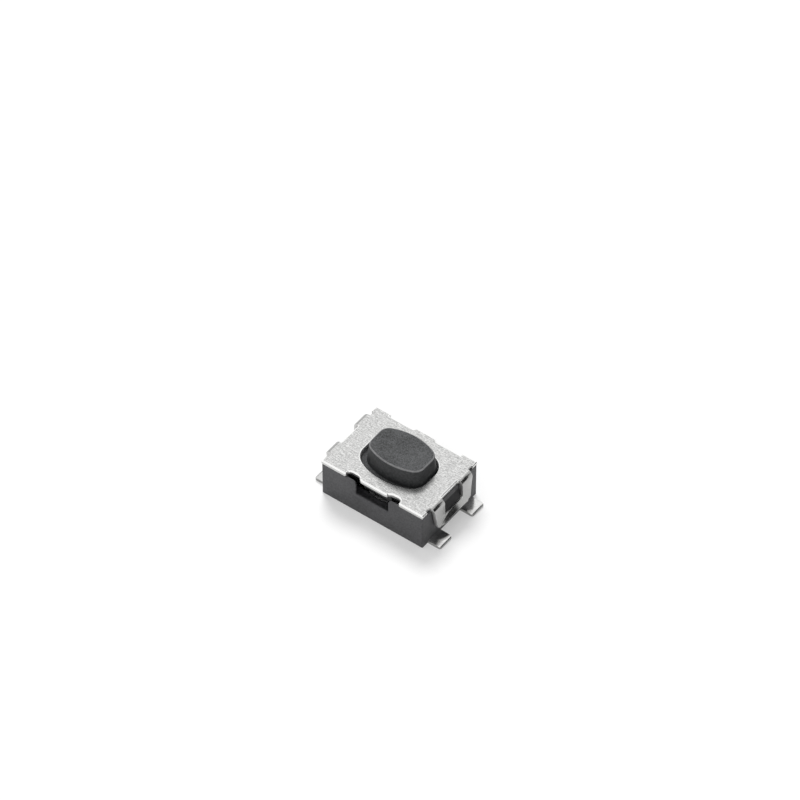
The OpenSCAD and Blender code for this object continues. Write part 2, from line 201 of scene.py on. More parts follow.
class ButtonSettings(bpy.types.PropertyGroup):
    half_l: length("Half length", "Half length of the button at its top", 1.02)
    half_w: length("Half width", "Half width of the button at its top", 0.7175)
    side_r: length("Side radius", "Radius of the bowed long sides", 2.0)
    corner_r: length("Corner radius", "Radius of the corners", 0.37)
    draft: length("Draft", "How much wider the button is on each side at its flange", 0.07)
    edge_r: length("Edge radius", "Radius round the button's top", 0.036)
    flange_l: length("Flange half length", "Half length of the flange", 1.35)
    flange_w: length("Flange half width", "Half width of the flange", 1.12)
    flange_t: length("Flange thickness", "Thickness of the flange", 0.29)
    flange_top: length("Flange top", "Height of the flange's top", 1.31)
    flange_r: length("Flange radius", "Radius of the flange's corners", 0.22)
    flange_edge_r: length("Flange edge", "Radius that the mould leaves on its edges", 0.02)
    key_w: length("Key half width", "Half width of the key in the front window", 0.535)
    key_y: length("Key reach", "Distance from the middle to the key's front", 1.24)
    shift: length("Shift", "How far the button sits to one end in its play", 0.065)
    shift_y: length("Side shift", "How far the button sits to the back in its play", 0.05)
    nub_r: length("Nub radius", "Radius of the nub that presses the dome", 0.35)
    nub_edge_r: length("Nub edge", "Radius round the nub's end", 0.04)


class ContactSettings(bpy.types.PropertyGroup):
    strip: length("Strip", "Thickness of the contact strip", 0.12)
    pin_w: length("Terminal width", "Width of a terminal", 0.62)
    pin_y: length("Terminal place", "Distance from the middle to a terminal's line", 0.84)
    tip_r: length("Tip radius", "Radius of a terminal's outer corners", 0.07)
    roll_l: length("Tip roll length", "Length of the rolled-over top at a terminal's tip", 0.25)
    roll_h: length("Tip roll height", "Height of that roll", 0.04)
    foot_x: length("Foot place", "Where the foot ends inside the housing", 1.69)
    shoulder: length("Shoulder", "Length over which the foot narrows", 0.2)
    neck_w: length("Neck width", "Width of the neck in the end wall", 0.28)
    neck_r: length("Neck radius", "Inner radius of the neck's bends", 0.05)
    tongue_w: length("Tongue half width", "Half width of the centre contact's tongue", 0.2)
    pad_r: length("Pad radius", "Radius of the pad at the tongue's end", 0.3)
    coin_r: length("Coined radius", "Radius of the coined rise in the pad", 0.15)
    coin_h: length("Coined height", "Height of the coined places", 0.04)
    coin_in: length("Coined set-in", "How far they stay behind the seats' edges", 0.01)
    seat_in: length("Seat inner edge", "Inner edge of a dome seat", 0.88)
    seat_out: length("Seat outer edge", "Outer edge of a dome seat", 1.2)
    seat_l: length("Seat half length", "Half length of a dome seat", 0.36)
    dome_r: length("Dome radius", "Radius of the snap dome", 1.1)
    dome_t: length("Dome sheet", "Thickness of the dome's sheet", 0.05)
    edge_r: length("Edge radius", "Broken edge of the stamped strip", 0.014)


class FinishSettings(bpy.types.PropertyGroup):
    sheet: colour("Cover sheet", "Rolled stainless sheet", "#f0f0ef")
    burnished: colour("Cover rim", "Stainless rim that the punch burnished", "#fafaf9")
    sheared: colour("Cover edge", "Freshly sheared stainless edge", "#cfcfce")
    # darker than the sheet: painted shade for the straps' dim reflections
    drawn: colour("Straps", "Stainless drawn dull by the bending tool", "#a9a9a8")
    housing: colour("Housing", "Black moulding", "#444446")
    # darker than the housing: painted shade on the wedges' ramps
    wedge: colour("Wedges", "Black moulding from the mould's polished cores", "#232324")
    button: colour("Button", "Dark grey moulding", "#494a4b")
    # lighter than the button: a painted highlight on the rounded edge round its top
    rim: colour("Button rim", "Rubbed rim of the button's top", "#7a7a7b")
    # darker than the button's top: painted shade on its sides
    stem: colour("Button sides", "Dark grey moulding from polished mould walls", "#373839")
    plating: colour("Plating", "Silver plating", "#ebebea")
    cropped: colour("Terminal edges", "Plated strip dulled where it was cropped", "#a6a6a5")
    dome: colour("Dome", "Spring strip", "#cfcfd0")
    floor: colour("Floor", "White paper sweep", "#d4d4d4")
    card: colour("Card", "Matt black card", "#404040")


class StageSettings(bpy.types.PropertyGroup):
    azimuth: angle("Azimuth", "How far the camera is turned towards the right end", 36.75)
    elevation: angle("Elevation", "How far the camera looks down", 47.4)
    distance: length("Distance", "Distance of the camera", 160.0)
    card_from: angle("Card from", "Where the standing dark card starts, from the X axis", -12.0)
    card_turn: angle("Card turn", "Where it ends and the hung one starts", 39.0)
    card_to: angle("Card to", "Where the hung card ends", 57.0)
    card_lift: angle("Card lift", "How high the hung card's lower edge is", 18.0)
    card_rise: angle("Card rise", "How high both reach as seen by the switch", 54.0)
    aim_right: length("Aim right", "Where the picture's middle lies, to the right", 0.0218)
    aim_up: length("Aim up", "Where the picture's middle lies, upwards", 2.885)


def in_mm(group):
    """A settings group with its lengths in millimetres and its angles as they are."""
    values = {}
    for key in type(group).__annotations__:
        turned = group.bl_rna.properties[key].unit == "ROTATION"
        values[key] = getattr(group, key) / (1 if turned else MM)
    return SimpleNamespace(**values)


# ---------------------------------------------------------------- modelling helpers


def faces_across(edge):
    """The angle between an edge's two faces, or 0 where there aren't two."""
    return edge.calc_face_angle(0.0)


def soften(bm, edges, radius, steps=2):
    """Rounds edges and gives the new faces."""
    if not edges:
        return []
    return bmesh.ops.bevel(bm, geom=list(edges), offset=radius, offset_type="OFFSET",
                           segments=steps, profile=0.5, affect="EDGES", material=-1,
                           clamp_overlap=False)["faces"]


def upright(edge):
    """Says whether an edge stands upright."""
    a, b = (v.co for v in edge.verts)
    return (a - b).xy.length < WELD


def at_height(edge, z):
    """Says whether an edge lies at a height."""
    return all(abs(v.co.z - z) < NEAR for v in edge.verts)


def only(geom, kind):
    """The parts of one kind, out of all that a modelling tool made."""
    return [g for g in geom if isinstance(g, kind)]


def block(low, high, corner_r=0.0):
    """A block between two corners, with its upright edges rounded."""
    low, high = Vector(low), Vector(high)
    bm = bmesh.new()
    bmesh.ops.create_cube(bm, size=1.0)
    bmesh.ops.scale(bm, vec=high - low, verts=bm.verts)
    bmesh.ops.translate(bm, vec=(low + high) / 2, verts=bm.verts)
    if corner_r:
        soften(bm, [e for e in bm.edges if upright(e)], corner_r, STEPS)
    return bm


def prism(outline, low, high):
    """A solid with a few corners in plan, between two heights."""
    bm = bmesh.new()
    face = bm.faces.new([bm.verts.new((x, y, low)) for x, y in outline])
    raised = bmesh.ops.extrude_face_region(bm, geom=[face])["geom"]
    bmesh.ops.translate(bm, vec=(0, 0, high - low), verts=only(raised, BMVert))
    bmesh.ops.recalc_face_normals(bm, faces=bm.faces)
    return bm


def cut_across(bm, faces, place, across):
    """Cuts faces along a plane and keeps both sides, so that they can bend there."""
    geom = set(faces)
    for face in faces:
        geom.update(face.verts)
        geom.update(face.edges)
    bmesh.ops.bisect_plane(bm, geom=list(geom), dist=1e-6, plane_co=place, plane_no=across)


def round_uprights(bm, chosen, radius):
    """Rounds the upright edges whose place chosen(x, y) accepts."""
    soften(bm, [e for e in bm.edges if upright(e) and chosen(*e.verts[0].co.xy)], radius, STEPS)


def post(radius, low, high, place=(0, 0), steps=6 * STEPS):
    """An upright round bar."""
    bm = bmesh.new()
    bmesh.ops.create_cone(bm, cap_ends=True, segments=steps, radius1=radius, radius2=radius,
                          depth=high - low)
    bmesh.ops.translate(bm, vec=(*place, (low + high) / 2), verts=bm.verts)
    return bm


def lathe(bm, steps):
    """Turns a profile that starts and ends on the upright axis into a closed solid."""
    bmesh.ops.spin(bm, geom=bm.verts[:] + bm.edges[:], cent=(0, 0, 0), axis=(0, 0, 1),
                   angle=2 * math.pi, steps=steps, use_merge=True, use_duplicate=False)
    bmesh.ops.remove_doubles(bm, verts=bm.verts, dist=WELD)
    bmesh.ops.recalc_face_normals(bm, faces=bm.faces)


def lay_down(bm):
    """Turns what stands upright until it lies along the Y axis."""
    bmesh.ops.rotate(bm, cent=(0, 0, 0), verts=bm.verts, matrix=Matrix.Rotation(QUARTER, 3, "X"))


def barrel_rim(bm, half_l, half_w, side_r, corner_r, z):
    """The edges of a barrel outline: bowed long sides, flat ends, round tangent corners."""
    old = set(bm.edges)
    centre_x = half_l - corner_r
    bow_y = half_w - side_r
    centre_y = bow_y + math.sqrt((side_r - corner_r) ** 2 - centre_x ** 2)
    turn = math.atan2(centre_y - bow_y, centre_x)
    arcs = [((centre_x, centre_y, z), turn, STEPS),
            ((0, bow_y, z), math.pi - 2 * turn, 3 * STEPS),
            ((-centre_x, centre_y, z), turn, STEPS)]
    ends = []
    for side in (1, -1):
        pen = [bm.verts.new((side * half_l, side * centre_y, z))]
        ends.append(pen[0])
        for centre, sweep, steps in arcs:
            at = (side * centre[0], side * centre[1], z)
            last = bmesh.ops.spin(bm, geom=pen, cent=at, axis=(0, 0, 1), angle=sweep,
                                  steps=steps, use_duplicate=False)["geom_last"]
            pen = only(last, BMVert)
        ends.append(pen[0])
    bm.edges.new((ends[1], ends[2]))
    bm.edges.new((ends[3], ends[0]))
    return [e for e in bm.edges if e not in old]


def loft(sections):
    """A closed solid through barrel outlines, from the lowest to the highest."""
    bm = bmesh.new()
    rims = [barrel_rim(bm, *section) for section in sections]
    for lower, upper in zip(rims, rims[1:]):
        bmesh.ops.bridge_loops(bm, edges=lower + upper)
    for rim in (rims[0], rims[-1]):
        bmesh.ops.contextual_create(bm, geom=rim)
    bmesh.ops.recalc_face_normals(bm, faces=bm.faces)
    return bm


def as_object(bm, name, materials=()):
    """Puts a shape into the scene as an object, and uses it up."""
    mesh = bpy.data.meshes.new(name)
    bm.to_mesh(mesh)
    bm.free()
    for material in materials:
        mesh.materials.append(material)
    obj = bpy.data.objects.new(name, mesh)
    bpy.context.scene.collection.objects.link(obj)
    return obj


def combined(bm, others, operation):
    """The solid bm with others taken away from it, or joined to it. All of them are used up."""
    base = as_object(bm, "scratch")
    tools = [as_object(other, "scratch") for other in others]
    for tool in tools:
        modifier = base.modifiers.new("combine", "BOOLEAN")
        modifier.operation = operation
        modifier.solver = "EXACT"
        modifier.object = tool
    done = base.evaluated_get(bpy.context.evaluated_depsgraph_get())
    mesh = bpy.data.meshes.new_from_object(done)
    result = bmesh.new()
    result.from_mesh(mesh)
    for used in [mesh] + [obj.data for obj in [base] + tools]:
        bpy.data.meshes.remove(used)  # its object goes with it
    if not result.faces:
        raise RuntimeError("a Boolean left nothing")
    bmesh.ops.remove_doubles(result, verts=result.verts, dist=WELD)
    # what lies in one plane becomes one face again
    bmesh.ops.dissolve_limit(result, angle_limit=math.radians(0.5), verts=result.verts,
                             edges=result.edges)
    return result


def both_ends(make):
    """Two copies of what make() gives, the second one mirrored to the other end."""
    first, second = make(), make()
    bmesh.ops.scale(second, vec=(-1, 1, 1), verts=second.verts)
    bmesh.ops.reverse_faces(second, faces=second.faces)
    return [first, second]


def finish_piece(bm, name, body, node, materials, smooth=30):
    """Brings a piece to metres, shades it and fits it to the frame in place of its CAD node."""
    bmesh.ops.scale(bm, vec=(MM,) * 3, verts=bm.verts)
    obj = as_object(bm, name, materials)
    obj.data.shade_smooth()
    obj.data.set_sharp_from_angle(angle=math.radians(smooth))
    normals = obj.modifiers.new("Even shading", "WEIGHTED_NORMAL")
    normals.keep_sharp = True
    normals.weight = 100
    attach(obj, body)
    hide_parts(node)
    return obj


# ---------------------------------------------------------------- materials


def node(tree, kind, settings=None, links=None):
    """Adds a node. Lower-case settings are its own, the others are its sockets' values."""
    made = tree.nodes.new(kind)
    for key, value in (settings or {}).items():
        if key[0].islower():
            setattr(made, key, value)
        else:
            made.inputs[key].default_value = value
    for key, source in (links or {}).items():
        tree.links.new(source, made.inputs[key])
    return made


def new_material(name):
    material = bpy.data.materials.new(name)
    material.use_nodes = True
    material.node_tree.nodes.clear()
    return material, material.node_tree


def surface(tree, shader):
    node(tree, "ShaderNodeOutputMaterial", links={"Surface": shader.outputs[0]})


def per_mm(millimetres):
    """How often a pattern of that size repeats in a metre."""
    return 1 / (millimetres * MM)


def scaled(tint, share):
    """A tint made darker, or lighter where the share is above 1."""
    return [min(1, c * share) for c in tint[:3]] + [1]


def bright_when_seen(tree, unseen, seen):
    """A strength as light, and another one as the camera and the metal see it."""
    path = node(tree, "ShaderNodeLightPath")
    eye = node(tree, "ShaderNodeMath", {"operation": "MAXIMUM"},
               {0: path.outputs["Is Camera Ray"], 1: path.outputs["Is Glossy Ray"]})
    return node(tree, "ShaderNodeMapRange", {"To Min": unseen, "To Max": seen},
                {"Value": eye.outputs[0]}).outputs[0]


def rolled_stainless_sheet(tint):
    """Cold-rolled stainless sheet, tumbled after stamping: a satin grey with fine streaks
    along the rolling direction and small bright and dark specks."""
    material, tree = new_material("rolled_stainless_sheet")
    where = node(tree, "ShaderNodeUVMap", {"uv_map": "rolled"})
    # The map counts the flat blank in metres times MAP_GAIN. The streaks are 0.25 mm long and
    # 0.03 mm wide. The specks are drawn 0.05 mm wide, coarser than the real ones, so that
    # they show.
    streaks = node(tree, "ShaderNodeMapping",
                   {"Scale": (per_mm(0.25) / MAP_GAIN, per_mm(0.03) / MAP_GAIN, 1)},
                   {"Vector": where.outputs["UV"]})
    specks = node(tree, "ShaderNodeMapping",
                  {"Scale": (per_mm(0.06) / MAP_GAIN, per_mm(0.045) / MAP_GAIN, 1)},
                  {"Vector": where.outputs["UV"]})
    streak = node(tree, "ShaderNodeTexNoise", {"Scale": 1.0, "Detail": 3.0, "Roughness": 0.6},
                  {"Vector": streaks.outputs[0]})
    speck = node(tree, "ShaderNodeTexNoise", {"Scale": 1.0, "Detail": 4.0, "Roughness": 0.7},
                 {"Vector": specks.outputs[0]})
    both = node(tree, "ShaderNodeMix", {"data_type": "FLOAT", "Factor": 0.6},
                {"A": streak.outputs["Fac"], "B": speck.outputs["Fac"]})
    shade = node(tree, "ShaderNodeValToRGB", links={"Fac": both.outputs[0]})
    dark, bright = shade.color_ramp.elements
    dark.position, dark.color = 0.42, scaled(tint, 0.52)
    bright.position, bright.color = 0.58, tint
    rough = node(tree, "ShaderNodeMapRange", {"From Min": 0.35, "From Max": 0.65, "To Min": 0.32,
                                              "To Max": 0.2}, {"Value": both.outputs[0]})
    bump = node(tree, "ShaderNodeBump", {"Strength": 1.0, "Distance": 0.0008 * MM},
                {"Height": both.outputs[0]})
    surface(tree, node(tree, "ShaderNodeBsdfPrincipled", {"Metallic": 1.0},
                       {"Base Color": shade.outputs["Color"], "Roughness": rough.outputs[0],
                        "Normal": bump.outputs["Normal"]}))
    return material


def lined_steel(name, tint, lines, detail, smoothest, roughest):
    """Steel whose fine lines vary its shine: rolled strip, or sheet where a tool has drawn
    over it. The lines' size along X, Y and Z is in millimetres."""
    material, tree = new_material(name)
    where = node(tree, "ShaderNodeTexCoord")
    drawn_out = node(tree, "ShaderNodeMapping", {"Scale": [per_mm(size) for size in lines]},
                     {"Vector": where.outputs["Object"]})
    marks = node(tree, "ShaderNodeTexNoise", {"Scale": 1.0, "Detail": detail},
                 {"Vector": drawn_out.outputs[0]})
    rough = node(tree, "ShaderNodeMapRange", {"To Min": smoothest, "To Max": roughest},
                 {"Value": marks.outputs["Fac"]})
    surface(tree, node(tree, "ShaderNodeBsdfPrincipled", {"Base Color": tint, "Metallic": 1.0},
                       {"Roughness": rough.outputs[0]}))
    return material


def worked_stainless(name, tint, marks, smoothest, roughest):
    """The cover's stainless where a tool worked it, with fine upright marks."""
    return lined_steel(name, tint, (marks, marks, 10 * marks), 2.0, smoothest, roughest)


def moulded_plastic(name, tint, grain, depth, rough, spread, specular=0.5):
    """A moulded thermoplastic: the fine pits of a spark-eroded mould, drawn a few times
    coarser than the real 0.01 to 0.02 mm so that they show, and a slow drift in colour. Grain
    and depth are in millimetres, and spread says how far the colour strays. A polished part
    of the mould leaves fewer pits and a lower specular."""
    material, tree = new_material(name)
    where = node(tree, "ShaderNodeTexCoord")
    pits = node(tree, "ShaderNodeTexNoise",
                {"Scale": per_mm(grain), "Detail": 3.0, "Roughness": 0.6},
                {"Vector": where.outputs["Object"]})
    drift = node(tree, "ShaderNodeTexNoise", {"Scale": per_mm(0.8), "Detail": 2.0},
                 {"Vector": where.outputs["Object"]})
    mixed = node(tree, "ShaderNodeMix", {"data_type": "FLOAT", "Factor": 0.25},
                 {"A": pits.outputs["Fac"], "B": drift.outputs["Fac"]})
    shade = node(tree, "ShaderNodeValToRGB", links={"Fac": mixed.outputs[0]})
    dark, bright = shade.color_ramp.elements
    dark.position, dark.color = 0.35, scaled(tint, 1 - spread)
    bright.position, bright.color = 0.65, scaled(tint, 1 + spread)
    satin = node(tree, "ShaderNodeMapRange", {"From Min": 0.3, "From Max": 0.7,
                                              "To Min": rough - 0.06, "To Max": rough + 0.06},
                 {"Value": pits.outputs["Fac"]})
    bump = node(tree, "ShaderNodeBump", {"Strength": 1.0, "Distance": depth * MM},
                {"Height": pits.outputs["Fac"]})
    surface(tree, node(tree, "ShaderNodeBsdfPrincipled",
                       {"IOR": 1.5, "Specular IOR Level": specular},
                       {"Base Color": shade.outputs["Color"], "Roughness": satin.outputs[0],
                        "Normal": bump.outputs["Normal"]}))
    return material


def silver_plating(name, tint, smoothest, roughest):
    """Silver plating over rolled brass strip: bright, with faint rolling lines and tarnish, and
    duller on the cropped edges."""
    material, tree = new_material(name)
    where = node(tree, "ShaderNodeTexCoord")
    lines = node(tree, "ShaderNodeMapping",
                 {"Scale": (per_mm(0.4), per_mm(0.03), per_mm(0.1))},
                 {"Vector": where.outputs["Object"]})
    rolled = node(tree, "ShaderNodeTexNoise", {"Scale": 1.0, "Detail": 3.0},
                  {"Vector": lines.outputs[0]})
    tarnish = node(tree, "ShaderNodeTexNoise", {"Scale": per_mm(0.25), "Detail": 3.0},
                   {"Vector": where.outputs["Object"]})
    shade = node(tree, "ShaderNodeValToRGB", links={"Fac": tarnish.outputs["Fac"]})
    dark, bright = shade.color_ramp.elements
    dark.position, dark.color = 0.35, scaled(tint, 0.8)
    bright.position, bright.color = 0.6, tint
    rough = node(tree, "ShaderNodeMapRange", {"To Min": smoothest, "To Max": roughest},
                 {"Value": rolled.outputs["Fac"]})
    bump = node(tree, "ShaderNodeBump", {"Strength": 0.5, "Distance": 0.0015 * MM},
                {"Height": rolled.outputs["Fac"]})
    surface(tree, node(tree, "ShaderNodeBsdfPrincipled", {"Metallic": 1.0},
                       {"Base Color": shade.outputs["Color"], "Roughness": rough.outputs[0],
                        "Normal": bump.outputs["Normal"]}))
    return material


def white_paper(tint):
    """The matt paper sweep. Its own small glow is only for the camera and for reflections."""
    material, tree = new_material("white_paper")
    paper = node(tree, "ShaderNodeBsdfDiffuse", {"Color": tint})
    glow = node(tree, "ShaderNodeEmission", {"Color": (1, 1, 1, 1)},
                {"Strength": bright_when_seen(tree, 0.0, PAPER_GLOW)})
    surface(tree, node(tree, "ShaderNodeAddShader",
                       links={0: paper.outputs[0], 1: glow.outputs[0]}))
    return material


def black_card(tint):
    """Matt black card: no shine, so that the metal shows it as an even dark."""
    material, tree = new_material("black_card")
    surface(tree, node(tree, "ShaderNodeBsdfDiffuse", {"Color": tint, "Roughness": 1.0}))
    return material


# ---------------------------------------------------------------- pieces


def strip_body(s, side, tip, top):
    """One contact's strip: two terminals, their bent necks and the rail that joins them."""
    y = side * s.pin_y
    half_neck, half_pin = s.neck_w / 2, s.pin_w / 2
    start = s.foot_x + s.neck_r
    bm = bmesh.new()
    corners = [(start, y - half_neck, 0), (start, y + half_neck, 0),
               (start, y + half_neck, s.strip), (start, y - half_neck, s.strip)]
    first = bm.faces.new([bm.verts.new(c) for c in corners])

    def pull(face, move, widen=1.0):
        grown = bmesh.ops.extrude_face_region(bm, geom=[face])["geom"]
        verts = only(grown, BMVert)
        bmesh.ops.translate(bm, vec=move, verts=verts)
        bmesh.ops.scale(bm, vec=(1, widen, 1), verts=verts, space=Matrix.Translation((0, -y, 0)))
        return only(grown, BMFace)[0]

    def turn(face, centre, sweep):
        geom = [face] + list(face.edges) + list(face.verts)
        last = bmesh.ops.spin(bm, geom=geom, cent=centre, axis=(0, 1, 0), angle=sweep,
                              steps=STEPS, use_duplicate=False)["geom_last"]
        return only(last, BMFace)[0]

    # inwards: up the neck inside the end wall, and along the floor to the middle
    outer = s.neck_r + s.strip
    inner = turn(first, (start, y, outer), QUARTER)
    inner = pull(inner, (0, 0, top - outer - outer))
    inner = turn(inner, (s.foot_x - outer, y, top - outer), -QUARTER)
    inner = pull(inner, (outer - s.foot_x, 0, 0))
    bmesh.ops.delete(bm, geom=[inner], context="FACES_ONLY")
    # outwards: the shoulder and the flat terminal
    sole = next(f for f in bm.faces if all(abs(v.co.x - start) < NEAR for v in f.verts))
    shoulder = pull(sole, (s.foot_x + s.shoulder - start, 0, 0), half_pin / half_neck)
    pull(shoulder, (tip - s.foot_x - s.shoulder, 0, 0))
    # each pull and turn leaves the face that it started from inside the strip
    left = [f for f in bm.faces if all(len(e.link_faces) > 2 for e in f.edges)]
    bmesh.ops.delete(bm, geom=left, context="FACES_ONLY")
    round_uprights(bm, lambda px, py: px > tip - NEAR, s.tip_r)
    both = bm.verts[:] + bm.edges[:] + bm.faces[:]
    bmesh.ops.mirror(bm, geom=both, matrix=Matrix.Identity(4), merge_dist=WELD, axis="X")
    bmesh.ops.recalc_face_normals(bm, faces=bm.faces)
    return bm


def contact_sheets(s, tip, top):
    """Both contacts as plain sheets: the centre contact and the rim contact."""
    low = top - s.strip
    centre = combined(strip_body(s, -1, tip, top), [
        block((-s.tongue_w, -s.pin_y, low), (s.tongue_w, 0, top)),
        post(s.pad_r, low, top)], "UNION")
    rim = combined(strip_body(s, 1, tip, top), both_ends(lambda: block(
        (s.seat_in, -s.seat_l, low), (s.seat_out, s.pin_y, top))), "UNION")
    return centre, rim


def rolled_tip(s, tip):
    """What the cropping tool rolls off a terminal's end, over its whole top edge."""
    rod = post(1, -3 * PAST, 3 * PAST, steps=12 * STEPS)
    lay_down(rod)
    bmesh.ops.scale(rod, vec=(s.roll_l, 1, s.roll_h), verts=rod.verts)
    x, z = tip - s.roll_l, s.strip - s.roll_h
    bmesh.ops.translate(rod, vec=(x, 0, z), verts=rod.verts)
    # wide enough for both terminals of a contact
    return combined(block((x, -2 * PAST, z), (tip + PAST, 2 * PAST, z + PAST)), [rod],
                    "DIFFERENCE")


class SWITCH_OT_contacts(bpy.types.Operator):
    """Build the two stamped contacts and the snap dome"""
    bl_idname = "switch.contacts"
    bl_label = "Contacts and dome"

    def execute(self, context):
        s = in_mm(context.scene.switch_contacts)
        finish = context.scene.switch_finish
        top = in_mm(context.scene.switch_housing).floor_z
        tip = cad_size("centre_contact", 1, 0)
        plating = [silver_plating("silver_plated_strip", finish.plating, 0.12, 0.3),
                   silver_plating("cropped_plated_edge", finish.cropped, 0.35, 0.5)]
        centre, rim = contact_sheets(s, tip, top)
        root = top - s.coin_in  # the coined places reach a little into the strip
        sheets = {
            "centre_contact": combined(centre, [post(s.coin_r, root, top + s.coin_h)], "UNION"),
            "rim_contact": combined(rim, both_ends(lambda: block(
                (s.seat_in + s.coin_in, s.coin_in - s.seat_l, root),
                (s.seat_out - s.coin_in, s.seat_l - s.coin_in, top + s.coin_h))), "UNION"),
        }
        for name, bm in sheets.items():
            bm = combined(bm, both_ends(lambda: rolled_tip(s, tip)), "DIFFERENCE")
            # the edges that the plastic hides are left sharp, and so are those that turn
            # less, where the rolled-over tip begins
            bared = s.foot_x + s.shoulder - NEAR
            soften(bm, [e for e in bm.edges if faces_across(e) > math.radians(50)
                        and all(abs(v.co.x) > bared or v.co.z > top - 1.5 * s.strip
                                for v in e.verts)], s.edge_r)
            # the cropped edges stand or slope, and the plated sides lie level
            for face in bm.faces:
                face.material_index = CROPPED if -0.3 < face.normal.z < 0.75 else PLATED
            finish_piece(bm, name + "_strip", "base", name, plating)
        # hard-rolled spring strip: smooth, and a little darker than the cover
        self.dome(s, top + s.coin_h, lined_steel(
            "spring_steel_strip", finish.dome, (0.5, 0.02, 0.5), 3.0, 0.18, 0.34))
        return {"FINISHED"}

    def dome(self, s, low, material):
        """A shallow cap of even thickness, turned from two arcs about one centre."""
        high = cad_size("snap_dome", 1, 2)
        rise = high - low - s.dome_t
        outer_r = (s.dome_r ** 2 + rise ** 2) / (2 * rise) + s.dome_t / 2
        bm = bmesh.new()
        ends = []
        for r in (outer_r, outer_r - s.dome_t):
            pen = [bm.verts.new((0, 0, high - outer_r + r))]
            last = bmesh.ops.spin(bm, geom=pen, cent=(0, 0, high - outer_r), axis=(0, 1, 0),
                                  angle=math.asin(s.dome_r / outer_r), steps=2 * STEPS,
                                  use_duplicate=False)["geom_last"]
            ends += only(last, BMVert)
        bm.edges.new(ends)
        lathe(bm, 12 * STEPS)
        obj = finish_piece(bm, "dome_cap", "base", "snap_dome", [material])
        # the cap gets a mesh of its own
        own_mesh(obj)


